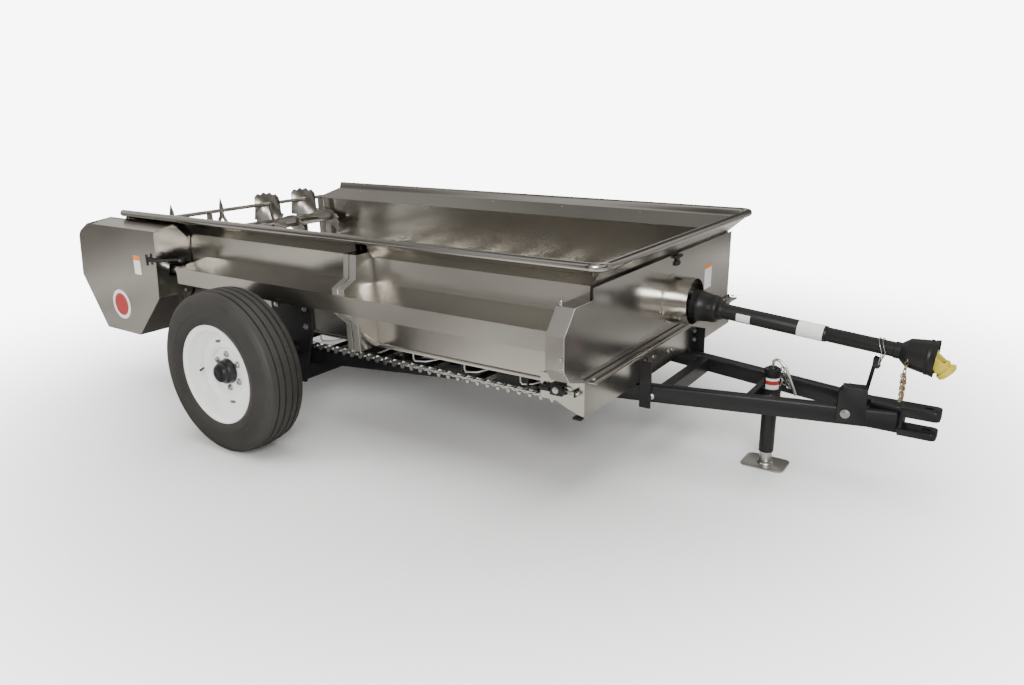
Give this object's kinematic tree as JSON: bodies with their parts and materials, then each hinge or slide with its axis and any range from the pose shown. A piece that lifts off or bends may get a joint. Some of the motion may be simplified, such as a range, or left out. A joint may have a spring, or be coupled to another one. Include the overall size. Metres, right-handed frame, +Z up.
{
  "type": "manure spreader",
  "caption": "Towed, shaft-driven manure spreader: open steel box with a floor conveyor, rear beater, drive covers, A-frame drawbar, parking jack and telescoping drive shaft.",
  "frame": {"origin": "on the ground, in the middle of the machine's length and width", "axes": "+X forwards to the hitch, +Y to the left, +Z up"},
  "size_m": [3.915, 2.22, 0.902],
  "materials": {
    "stainless": "brushed, semi-gloss",
    "black_paint": "satin black paint",
    "white_paint": "gloss white paint",
    "tyre_rubber": "worn rubber",
    "black_plastic": "matt",
    "zinc": "zinc plated",
    "yellow_paint": "satin yellow paint"
  },
  "bodies": {
    "chassis": {"apron": "zinc", "apron_drive_shaft": "zinc", "axle_beam": "black_paint", "axle_bracket_left": "black_paint", "axle_bracket_right": "black_paint", "beater_bearing_left": "black_paint", "beater_bearing_right": "black_paint", "cross_brace": "black_paint", "cross_drive_shaft": "zinc", "drive_backplate": "stainless", "floor": "stainless", "front_gearbox": "black_paint", "front_wall": "stainless", "hitch_clevis": "black_paint", "idler_shaft": "zinc", "jack_crank": "zinc", "jack_mount": "black_paint", "jack_tube": "black_paint", "lower_front_plate": "stainless", "mid_brace_left": "stainless", "mid_brace_right": "stainless", "pto_outer": "black_plastic", "rail_left": "black_paint", "rail_right": "black_paint", "rear_gearbox": "black_paint", "rear_sill": "stainless", "rim_bead": "stainless", "side_channel_left": "stainless", "side_channel_right": "stainless", "side_drive_shaft": "zinc", "side_wall_left": "stainless", "side_wall_right": "stainless", "stand_bracket": "black_paint", "under_frame": "black_paint", "upright_left": "black_paint", "upright_right": "black_paint"},
    "wheel_right": {"tyre_right": "tyre_rubber", "wheel_rim_right": "white_paint"},
    "wheel_left": {"tyre_left": "tyre_rubber", "wheel_rim_left": "white_paint"},
    "beater": {"beater": "stainless"},
    "rear_cover": {"rear_cover": "stainless"},
    "front_cover": {"front_cover": "stainless", "guard_ring": "stainless"},
    "pto_slide": {"pto_inner": "black_plastic"},
    "pto_joint": {"pto_cross": "zinc"},
    "pto_yoke": {"pto_yoke": "yellow_paint"},
    "shaft_stand": {"stand_rod": "zinc"},
    "jack_leg": {"jack_leg": "zinc"}
  },
  "joints": [
    {"name": "right_wheel_spin", "type": "hinge", "parent": "chassis", "child": "wheel_right", "pos_m": [-0.58904, -1.0115, 0.343], "axis": [0, 1, 0], "continuous": true},
    {"name": "left_wheel_spin", "type": "hinge", "parent": "chassis", "child": "wheel_left", "pos_m": [-0.58904, 1.0115, 0.343], "axis": [0, 1, 0], "continuous": true},
    {"name": "beater_spin", "type": "hinge", "parent": "chassis", "child": "beater", "pos_m": [-1.74404, 0, 0.695], "axis": [0, 1, 0], "continuous": true},
    {"name": "rear_cover_hinge", "type": "hinge", "parent": "chassis", "child": "rear_cover", "pos_m": [-1.95104, -0.6763, 0.58], "axis": [0, 0, -1], "range_deg": [0, 100]},
    {"name": "front_cover_tilt", "type": "hinge", "parent": "chassis", "child": "front_cover", "pos_m": [0.91346, 0, 0.4803], "axis": [0, 1, 0], "range_deg": [0, 12]},
    {"name": "pto_telescope", "type": "slide", "parent": "chassis", "child": "pto_slide", "axis": [0.9962, 0, -0.0877], "range_m": [-0.05, 0.2]},
    {"name": "yoke_spin", "type": "hinge", "parent": "pto_slide", "child": "pto_joint", "pos_m": [1.88259, 0, 0.5333], "axis": [0.9962, 0, -0.0877], "continuous": true},
    {"name": "yoke_tilt", "type": "hinge", "parent": "pto_joint", "child": "pto_yoke", "pos_m": [1.88259, 0, 0.5333], "axis": [0, -1, 0], "range_deg": [0, 40]},
    {"name": "stand_fold", "type": "hinge", "parent": "chassis", "child": "shaft_stand", "pos_m": [1.67896, 0, 0.364], "axis": [0, 1, 0], "range_deg": [0, 75]},
    {"name": "jack_extend", "type": "slide", "parent": "chassis", "child": "jack_leg", "axis": [0, 0, 1], "range_m": [-0.2, 0.04]}
  ]
}
